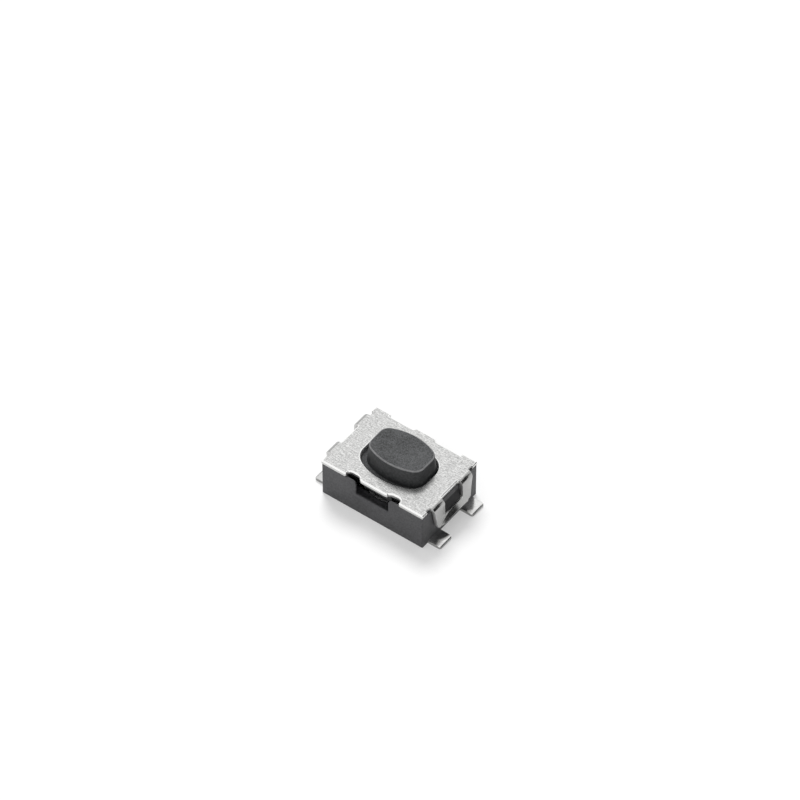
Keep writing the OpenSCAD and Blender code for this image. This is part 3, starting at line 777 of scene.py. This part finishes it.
class SWITCH_OT_housing(bpy.types.Operator):
    """Build the black moulding with its cavity, windows, snap wedges and underside"""
    bl_idname = "switch.housing"
    bl_label = "Housing"

    def execute(self, context):
        s = in_mm(context.scene.switch_housing)
        contacts = in_mm(context.scene.switch_contacts)
        end_x = in_mm(context.scene.switch_cover).plate_l
        side_y = cad_size("housing", 1, 1)
        top = cad_size("housing", 1, 2)
        high = top + PAST

        def wedge():
            # its root reaches as far into the wall as the wedge stands out
            foot, root = s.wedge_z, end_x - s.wedge_out
            bm = prism([(root, foot), (end_x + s.wedge_out, foot),
                        (end_x + s.wedge_out, foot + s.wedge_face),
                        (end_x, foot + s.wedge_h), (root, foot + s.wedge_h)],
                       -s.wedge_w, s.wedge_w)
            lay_down(bm)
            return bm

        bm = combined(block((-end_x, -side_y, 0), (end_x, side_y, top), s.corner_r),
                      both_ends(wedge), "UNION")
        through = 1.5 * s.wall_long  # cuts a long wall and stays clear of everything else
        bm = combined(bm, [
            block((s.wall_end - end_x, s.wall_long - side_y, s.floor_z),
                  (end_x - s.wall_end, side_y - s.wall_long, high), s.cavity_r),
            block((-s.front_win_w / 2, -side_y - PAST, s.front_win_z),
                  (s.front_win_w / 2, through - side_y, high)),
            block((-s.back_win_w / 2, side_y - through, s.back_win_z),
                  (s.back_win_w / 2, side_y + PAST, high)),
            block((-s.skin_half, s.skin - side_y, s.floor_z),
                  (s.skin_half, through - side_y, high)),
        ], "DIFFERENCE")
        # the wall tops roll over into the windows
        soften(bm, [e for e in bm.edges if self.beside_window(e, s, top)], s.win_top_r, STEPS)
        outer_x, outer_y = end_x - s.mould_r / 2, side_y - s.mould_r / 2
        soften(bm, [e for e in bm.edges if faces_across(e) > SHARP
                    and all(abs(v.co.x) > outer_x or abs(v.co.y) > outer_y
                            for v in e.verts)], s.mould_r)
        bm = combined(bm, self.underside(s), "DIFFERENCE")
        tip = cad_size("centre_contact", 1, 0)
        bm = combined(bm, self.pockets(contacts, tip, s), "DIFFERENCE")
        # the wedges, down to the middle of the radius at their foot, get a darker tint, which is
        # painted shade, and finer pits with a lower specular
        root_x, root_y = end_x + s.mould_r * 0.15, s.wedge_w + s.mould_r * 0.5
        for face in bm.faces:
            place = face.calc_center_median()
            on_wedge = abs(place.x) > root_x and abs(place.y) < root_y
            face.material_index = SHADED_WEDGE if on_wedge else BODY
        finish = context.scene.switch_finish
        finish_piece(bm, "housing_moulding", "base", "housing",
                     [moulded_plastic("black_lcp_moulding", finish.housing, grain=0.06,
                                      depth=0.006, rough=0.5, spread=0.5),
                      moulded_plastic("shaded_lcp_wedge", finish.wedge, grain=0.06,
                                      depth=0.002, rough=0.5, spread=0.3, specular=0.2)],
                     smooth=40)
        return {"FINISHED"}

    def underside(self, s):
        """The gate ring, the two core holes and the fine frame, which is open at one end."""
        below = -s.ring_depth
        scar = s.boss_sink + s.frame_line
        ring = bmesh.new()
        profile = [ring.verts.new((x, 0, z)) for x, z in (
            (0, below), (s.ring_d / 2, below), (s.ring_d / 2, s.ring_depth),
            (s.ring_boss_d / 2, s.ring_depth), (s.ring_boss_d / 2, s.boss_sink),
            (s.gate_d / 2, s.boss_sink), (s.gate_d / 2 - s.gate_slope, scar), (0, scar))]
        for pair in zip(profile, profile[1:]):
            ring.edges.new(pair)
        lathe(ring, 8 * STEPS)
        holes = [post(s.hole_d / 2, below, s.hole_depth, (side * s.hole_x, 0))
                 for side in (1, -1)]
        half_l, half_w, line = s.frame_l / 2, s.frame_w / 2, s.frame_line
        lines = [block((-half_l, side * half_w - line / 2, below),
                       (half_l, side * half_w + line / 2, line)) for side in (1, -1)]
        lines.append(block((-half_l, -half_w, below), (line - half_l, half_w, line)))
        return [ring] + holes + lines

    def beside_window(self, edge, s, top):
        """Says whether an edge is where a wall's top meets a window."""
        if not at_height(edge, top):
            return False
        a, b = (v.co for v in edge.verts)
        half = s.front_win_w / 2 if a.y < 0 else s.back_win_w / 2
        return abs(a.x - b.x) < NEAR and abs(abs(a.x) - half) < NEAR

    def pockets(self, contacts, tip, s):
        """The space that the contacts take up in the plastic, a hairline wider than they are."""
        wide = SimpleNamespace(**vars(contacts))
        for key, times in (("strip", 2), ("pin_w", 2), ("neck_w", 2), ("foot_x", 1),
                           ("neck_r", -1), ("shoulder", -2), ("tongue_w", 1), ("pad_r", 1),
                           ("seat_in", -1), ("seat_out", 1), ("seat_l", 1)):
            setattr(wide, key, getattr(wide, key) + times * s.fit)
        sheets = contact_sheets(wide, tip, s.floor_z + 2 * s.fit)
        for bm in sheets:
            bmesh.ops.translate(bm, vec=(0, 0, -s.fit), verts=bm.verts)
        return sheets


class SWITCH_OT_button(bpy.types.Operator):
    """Build the grey button with its flange, key and nub"""
    bl_idname = "switch.button"
    bl_label = "Button"

    def execute(self, context):
        s = in_mm(context.scene.switch_button)
        top = cad_size("button", 1, 2)
        nub_low = cad_size("button", 0, 2)
        low = s.flange_top - s.flange_t
        overlap = 0.05  # how far the stem and the nub reach into the flange

        def section(grow, z):
            return (s.half_l + grow, s.half_w + grow, s.side_r + grow, s.corner_r + grow, z)

        inside = s.flange_top - overlap
        slope = s.draft / (top - s.edge_r - s.flange_top)
        stem = loft([section(s.draft + overlap * slope, inside), section(s.draft, s.flange_top),
                     section(-s.edge_r * slope, top)])
        soften(stem, [e for e in stem.edges if at_height(e, top)], s.edge_r, 4)
        flange = prism([(s.flange_l, s.flange_w), (-s.flange_l, s.flange_w),
                        (-s.flange_l, -s.flange_w), (-s.key_w, -s.flange_w),
                        (-s.key_w, -s.key_y), (s.key_w, -s.key_y),
                        (s.key_w, -s.flange_w), (s.flange_l, -s.flange_w)], low, s.flange_top)
        round_uprights(flange, lambda x, y: abs(x) > s.flange_l - NEAR, s.flange_r)
        soften(flange, [e for e in flange.edges if faces_across(e) > SHARP], s.flange_edge_r)
        nub = post(s.nub_r, nub_low, low + overlap)
        soften(nub, [e for e in nub.edges if at_height(e, nub_low)], s.nub_edge_r, 3)
        bm = combined(flange, [stem, nub], "UNION")
        # the level faces, the rim round the top, lighter as a painted highlight, and all that is
        # below it, darker as painted shade
        for face in bm.faces:
            if face.normal.z > 0.99:
                face.material_index = FACE
            else:
                beside = face.calc_center_median().z < top - s.edge_r
                face.material_index = SHADED_SIDE if beside else HIGHLIT_EDGE
        bmesh.ops.translate(bm, vec=(s.shift, s.shift_y, 0), verts=bm.verts)
        finish = context.scene.switch_finish
        finish_piece(bm, "button_moulding", "plunger", "button",
                     [moulded_plastic("grey_polyamide_moulding", finish.button, grain=0.038,
                                      depth=0.008, rough=0.6, spread=0.8),
                      moulded_plastic("highlit_polyamide_rim", finish.rim, grain=0.07,
                                      depth=0.004, rough=0.45, spread=0.3),
                      # the sides' darker tint is painted shade; their finer pits and lower specular
                      # stay
                      moulded_plastic("shaded_polyamide_side", finish.stem, grain=0.07,
                                      depth=0.004, rough=0.5, spread=0.5, specular=0.35)])
        return {"FINISHED"}


class SWITCH_OT_cover(bpy.types.Operator):
    """Stamp the cover's flat blank, then bend its two snap straps"""
    bl_idname = "switch.cover"
    bl_label = "Cover"

    def execute(self, context):
        s = in_mm(context.scene.switch_cover)
        finish = context.scene.switch_finish
        high = cad_size("cover", 1, 2)
        low = high - s.sheet
        bm = self.blank(s, low, high)
        self.break_edges(bm, s, low, high)
        self.rolled_map(bm)
        self.bend(bm, s, low, high)
        self.mark_straps(bm, s)
        finish_piece(bm, "cover_sheet", "base", "cover",
                     [rolled_stainless_sheet(finish.sheet),
                      worked_stainless("burnished_stainless_rim", finish.burnished,
                                       marks=0.05, smoothest=0.2, roughest=0.3),
                      worked_stainless("sheared_stainless_edge", finish.sheared,
                                       marks=0.03, smoothest=0.35, roughest=0.6),
                      # the straps' darker tint is painted shade; their smoother shine and fine
                      # marks stay
                      worked_stainless("shaded_stainless_strap", finish.drawn,
                                       marks=0.06, smoothest=0.16, roughest=0.28)])
        return {"FINISHED"}

    def neutral(self, s, low):
        """The bend's start, its neutral radius and length, and the height where it ends."""
        start = s.plate_l + s.strap_gap - s.bend_r
        radius = s.bend_r + s.sheet / 2
        return start, radius, radius * QUARTER, low - s.bend_r

    def flat_x(self, s, low, z):
        """Where a height on the bent strap lies on the flat blank."""
        start, _, arc, end_z = self.neutral(s, low)
        return start + arc + end_z - z

    def blank(self, s, low, high):
        """The flat sheet as the punch leaves it, with the straps stretched out."""
        start = self.neutral(s, low)[0]
        lean = (s.arm_out - s.arm_out_low) / (high - s.strap_z - s.strap_corner_r)

        def half_width(z):
            return s.arm_out - (high - z) * lean

        end_z = self.neutral(s, low)[3]
        tip = self.flat_x(s, low, s.strap_z)
        quarter = [(s.plate_l, s.plate_w), (s.plate_l, s.arm_out), (start, s.arm_out),
                   (self.flat_x(s, low, end_z), half_width(end_z)),
                   (tip - s.strap_corner_r, s.arm_out_low), (tip, s.arm_out_low)]
        outline = quarter + [(x, -y) for x, y in reversed(quarter)] \
            + [(-x, -y) for x, y in quarter] + [(-x, y) for x, y in reversed(quarter)]
        bm = prism(outline, low, high)
        round_uprights(bm, lambda x, y: abs(x) > tip - NEAR, s.strap_corner_r)
        under, over = low - PAST, high + PAST
        arch_half = s.arm_out_low - 2 * s.strap_corner_r
        arch_r = (arch_half ** 2 + s.strap_arch ** 2) / (2 * s.strap_arch)
        arch_x = tip - s.strap_arch + arch_r
        cuts = [loft([(s.open_l, s.open_w, s.open_side_r, s.open_corner_r, z)
                      for z in (under, over)])]
        for side in (1, -1):
            cuts.append(self.notch(s, side, under, over))
            cuts += both_ends(lambda: block(
                (s.plate_l - s.slit_depth, side * s.arm_out - (side < 0) * s.slit_w, under),
                (s.plate_l + s.sheet, side * s.arm_out + (side > 0) * s.slit_w, over),
                s.slit_w / 4))
        cuts.append(block((-s.notch_near, -s.plate_w - PAST, under),
                          (s.notch_near, s.notch_set_in - s.plate_w, over)))
        cuts += both_ends(lambda: post(arch_r, under, over, (arch_x, 0), 32 * STEPS))
        cuts += both_ends(lambda: block(
            (s.plate_l - s.plate_set_in, -s.arm_in, under),
            (self.flat_x(s, low, s.window_z), s.arm_in, over), s.window_r))
        edge = s.plate_w - s.back_cut
        half_tab, half_cut = s.back_tab_w / 2, s.back_cut_w / 2
        for side in (1, -1):
            cuts.append(prism([(side * half_cut, s.plate_w + PAST), (side * half_cut, edge),
                               (side * (half_tab + s.back_tab_slope), edge),
                               (side * half_tab, s.plate_w),
                               (side * half_tab, s.plate_w + PAST)], under, over))
        bm = combined(bm, cuts, "DIFFERENCE")
        front = s.notch_set_in - s.plate_w + NEAR
        round_uprights(bm, lambda x, y: y < front and abs(x) < s.notch_near, s.notch_lip_r)
        round_uprights(bm, lambda x, y: y < front and abs(abs(x) - s.notch_far) < NEAR,
                       s.notch_lip_r / 2)
        return bm

    def notch(self, s, side, under, over):
        """A relief notch: upright on its far side, sloping to the set-in edge on its near one."""
        bottom, edge = s.notch_depth - s.plate_w, s.notch_set_in - s.plate_w
        outside, rise = -s.plate_w - PAST, s.notch_near - s.notch_slope
        bm = prism([(side * x, y) for x, y in (
            (s.notch_far, outside), (s.notch_far, bottom), (s.notch_near, bottom),
            (rise, edge), (rise, outside))], under, over)
        round_uprights(bm, lambda x, y: y > bottom - NEAR, s.notch_r)
        return bm

    def break_edges(self, bm, s, low, high):
        """Marks the cut edges with their finish and breaks their rims. The punch rolls the
        plate's rims over on its own side, most of all round the opening. The straps' rims
        and those on the die side stay crisp."""
        for face in bm.faces:
            face.material_index = SHEET if abs(face.normal.z) > 0.9 else WALL
        for level, radius in ((high, s.punch_r), (low, s.burr_r)):
            plate, opening, strap = [], [], []
            for edge in bm.edges:
                if at_height(edge, level) and faces_across(edge) > SHARP:
                    if self.on_strap(edge, s):
                        strap.append(edge)
                    elif level == high and self.round_opening(edge, s):
                        opening.append(edge)
                    else:
                        plate.append(edge)
            for face in soften(bm, plate, radius, 3) + soften(bm, opening, s.open_roll, 5):
                face.material_index = RIM
            soften(bm, [e for e in strap if e.is_valid], s.burr_r)

    def on_strap(self, edge, s):
        """Says whether an edge is on a strap or in the slit beside it."""
        return (max(abs(v.co.x) for v in edge.verts) > s.plate_l + NEAR
                or all(abs(v.co.x) > s.plate_l - s.slit_depth - NEAR
                       and s.arm_out - NEAR < abs(v.co.y) < s.arm_out + s.slit_w + NEAR
                       for v in edge.verts))

    def round_opening(self, edge, s):
        """Says whether an edge is on the rim of the button's opening."""
        return all(abs(v.co.x) < s.open_l + NEAR and abs(v.co.y) < s.open_w + NEAR
                   for v in edge.verts)

    def mark_straps(self, bm, s):
        """Gives the straps a darker copy of the sheet's stainless, which is painted shade for the
        dim reflections on the straps.
        """
        for face in bm.faces:
            if face.material_index == SHEET \
                    and abs(face.calc_center_median().x) > s.plate_l + s.strap_gap:
                face.material_index = SHADED_STRAP

    def rolled_map(self, bm):
        """Keeps each point's place on the flat blank as a map, so that the rolled grain
        follows the sheet round its bends."""
        layer = bm.loops.layers.uv.new("rolled")
        middle = Vector((0.5, 0.5))
        for face in bm.faces:
            for loop in face.loops:
                loop[layer].uv = loop.vert.co.xy * MM * MAP_GAIN + middle

    def bend(self, bm, s, low, high):
        """Bends the straps down, and then flares their crossbars out along an arched fold."""
        start, radius, arc, end_z = self.neutral(s, low)
        middle = (low + high) / 2
        tip = self.flat_x(s, low, s.strap_z)
        fold = self.flat_x(s, low, s.flare_z + FINE)
        steps = [start + arc * i / STEPS for i in range(STEPS + 1)]
        steps += [start + arc + (fold - start - arc) * i / STEPS for i in range(1, STEPS + 1)]
        while steps[-1] < tip - FINE:
            steps.append(steps[-1] + FINE)
        for x in steps:
            for side in (1, -1):
                cut_across(bm, bm.faces[:], (side * x, 0, 0), (1, 0, 0))
        # the arched fold needs cuts along the strap as well
        rows = round(s.arm_out_low / (2 * FINE))
        for i in range(-rows, rows + 1):
            bars = [f for f in bm.faces if all(abs(v.co.x) > fold - NEAR for v in f.verts)]
            cut_across(bm, bars, (0, 2 * FINE * i, 0), (0, 1, 0))
        for v in bm.verts:
            along = abs(v.co.x) - start
            if along <= 0:
                continue
            out = v.co.z - middle
            if along < arc:
                turn = along / radius
                x = start + (radius + out) * math.sin(turn)
                z = end_z + (radius + out) * math.cos(turn)
            else:
                z = end_z - (along - arc)
                x = start + radius + out + s.lean * ((end_z - z) / (end_z - s.strap_z)) ** 2
                x, z = self.flared(s, x, v.co.y, z, out)
            v.co = Vector((math.copysign(x, v.co.x), v.co.y, z))

    def flared(self, s, x, y, z, out):
        """Where the flare takes a point of the upright strap."""
        crown = s.flare_r - math.sqrt(s.flare_r ** 2 - y ** 2)
        fold = s.flare_z - crown / math.sin(s.flare)
        if z >= fold:
            return x, z
        turn = min(s.flare, (fold - z) / s.flare_bend)
        past = fold - z - turn * s.flare_bend
        inner = s.flare_bend - out
        return (x - out + s.flare_bend - inner * math.cos(turn) + past * math.sin(turn),
                fold - inner * math.sin(turn) - past * math.cos(turn))


class SWITCH_OT_stage(bpy.types.Operator):
    """Set up the white sweep, the soft studio light and the camera of the photograph"""
    bl_idname = "switch.stage"
    bl_label = "Stage"

    def execute(self, context):
        scene = context.scene
        scene.view_settings.view_transform = "Standard"
        bm = bmesh.new()
        bmesh.ops.create_grid(bm, x_segments=1, y_segments=1, size=FLOOR_HALF)
        bmesh.ops.translate(bm, vec=(0, 0, -FLOOR_GAP), verts=bm.verts)
        floor = as_object(bm, "paper_sweep", [white_paper(scene.switch_finish.floor)])
        s = scene.switch_stage
        self.dark_card(scene, "standing_card", s.card_from, s.card_turn, 0.0, s.card_rise)
        self.dark_card(scene, "hung_card", s.card_turn, s.card_to, s.card_lift, s.card_rise)
        self.light(scene)
        self.camera(scene)
        return {"FINISHED"}

    def dark_card(self, scene, name, start, end, lift, rise):
        """A curved screen of black card, out of the picture, for the metal to reflect."""
        bm = bmesh.new()
        foot = bm.verts.new((CARD_R, 0, CARD_R * math.tan(lift)))
        head = bm.verts.new((CARD_R, 0, CARD_R * math.tan(rise)))
        edge = bm.edges.new((foot, head))
        bmesh.ops.rotate(bm, cent=(0, 0, 0), verts=bm.verts,
                         matrix=Matrix.Rotation(start, 3, "Z"))
        bmesh.ops.spin(bm, geom=[foot, head, edge], cent=(0, 0, 0), axis=(0, 0, 1),
                       angle=end - start, steps=4 * STEPS, use_duplicate=False)
        card = as_object(bm, name, [black_card(scene.switch_finish.card)])
        card.visible_camera = False

    def light(self, scene):
        world = bpy.data.worlds.new("studio_white")
        world.use_nodes = True
        tree = world.node_tree
        tree.nodes.clear()
        glow = node(tree, "ShaderNodeBackground", {"Color": (1, 1, 1, 1)},
                    {"Strength": bright_when_seen(tree, SKY, SKY_SEEN)})
        node(tree, "ShaderNodeOutputWorld", links={"Surface": glow.outputs[0]})
        scene.world = world
        key = bpy.data.lights.new("key", "SUN")
        key.energy = SUN
        key.angle = SUN_SPREAD
        lamp = bpy.data.objects.new("key", key)
        # the key stands behind the switch and a little to the left, high up
        towards = Vector((-0.5, 0.5, 1.0))
        lamp.rotation_euler = towards.to_track_quat("Z", "Y").to_euler()
        lamp.visible_glossy = False
        scene.collection.objects.link(lamp)

    def camera(self, scene):
        s = scene.switch_stage
        lens = bpy.data.cameras.new("camera")
        az, el = s.azimuth, s.elevation
        back = Vector((math.sin(az) * math.cos(el), -math.cos(az) * math.cos(el), math.sin(el)))
        right = Vector((math.cos(az), math.sin(az), 0))
        up = back.cross(right)
        lens.sensor_width = 36
        lens.lens = lens.sensor_width * SCALE * (s.distance / MM) / PICTURE
        lens.clip_start = 0.001
        lens.clip_end = 10
        camera = bpy.data.objects.new("camera", lens)
        place = back * s.distance + right * s.aim_right + up * s.aim_up
        turn = Matrix((right, up, back)).transposed().to_4x4()
        camera.matrix_world = Matrix.Translation(place) @ turn
        scene.collection.objects.link(camera)
        scene.camera = camera


class SWITCH_PT_panel(bpy.types.Panel):
    """Lists the steps that build the switch"""
    bl_label = "Tactile switch"
    bl_space_type = "VIEW_3D"
    bl_region_type = "UI"
    bl_category = "Switch"

    def draw(self, context):
        for operator in OPERATORS:
            self.layout.operator(operator.bl_idname)


GROUPS = {
    "switch_housing": HousingSettings,
    "switch_cover": CoverSettings,
    "switch_button": ButtonSettings,
    "switch_contacts": ContactSettings,
    "switch_finish": FinishSettings,
    "switch_stage": StageSettings,
}
OPERATORS = (SWITCH_OT_stage, SWITCH_OT_contacts, SWITCH_OT_housing, SWITCH_OT_button,
             SWITCH_OT_cover)


def register():
    for name, group in GROUPS.items():
        bpy.utils.register_class(group)
        setattr(bpy.types.Scene, name, PointerProperty(type=group))
    for operator in OPERATORS:
        bpy.utils.register_class(operator)
    bpy.utils.register_class(SWITCH_PT_panel)


def unregister():
    bpy.utils.unregister_class(SWITCH_PT_panel)
    for operator in reversed(OPERATORS):
        bpy.utils.unregister_class(operator)
    for name, group in reversed(GROUPS.items()):
        delattr(bpy.types.Scene, name)
        bpy.utils.unregister_class(group)


def main():
    register()
    bpy.ops.switch.stage()
    bpy.ops.switch.contacts()
    bpy.ops.switch.housing()
    bpy.ops.switch.button()
    bpy.ops.switch.cover()


if __name__ == "__main__":
    main()
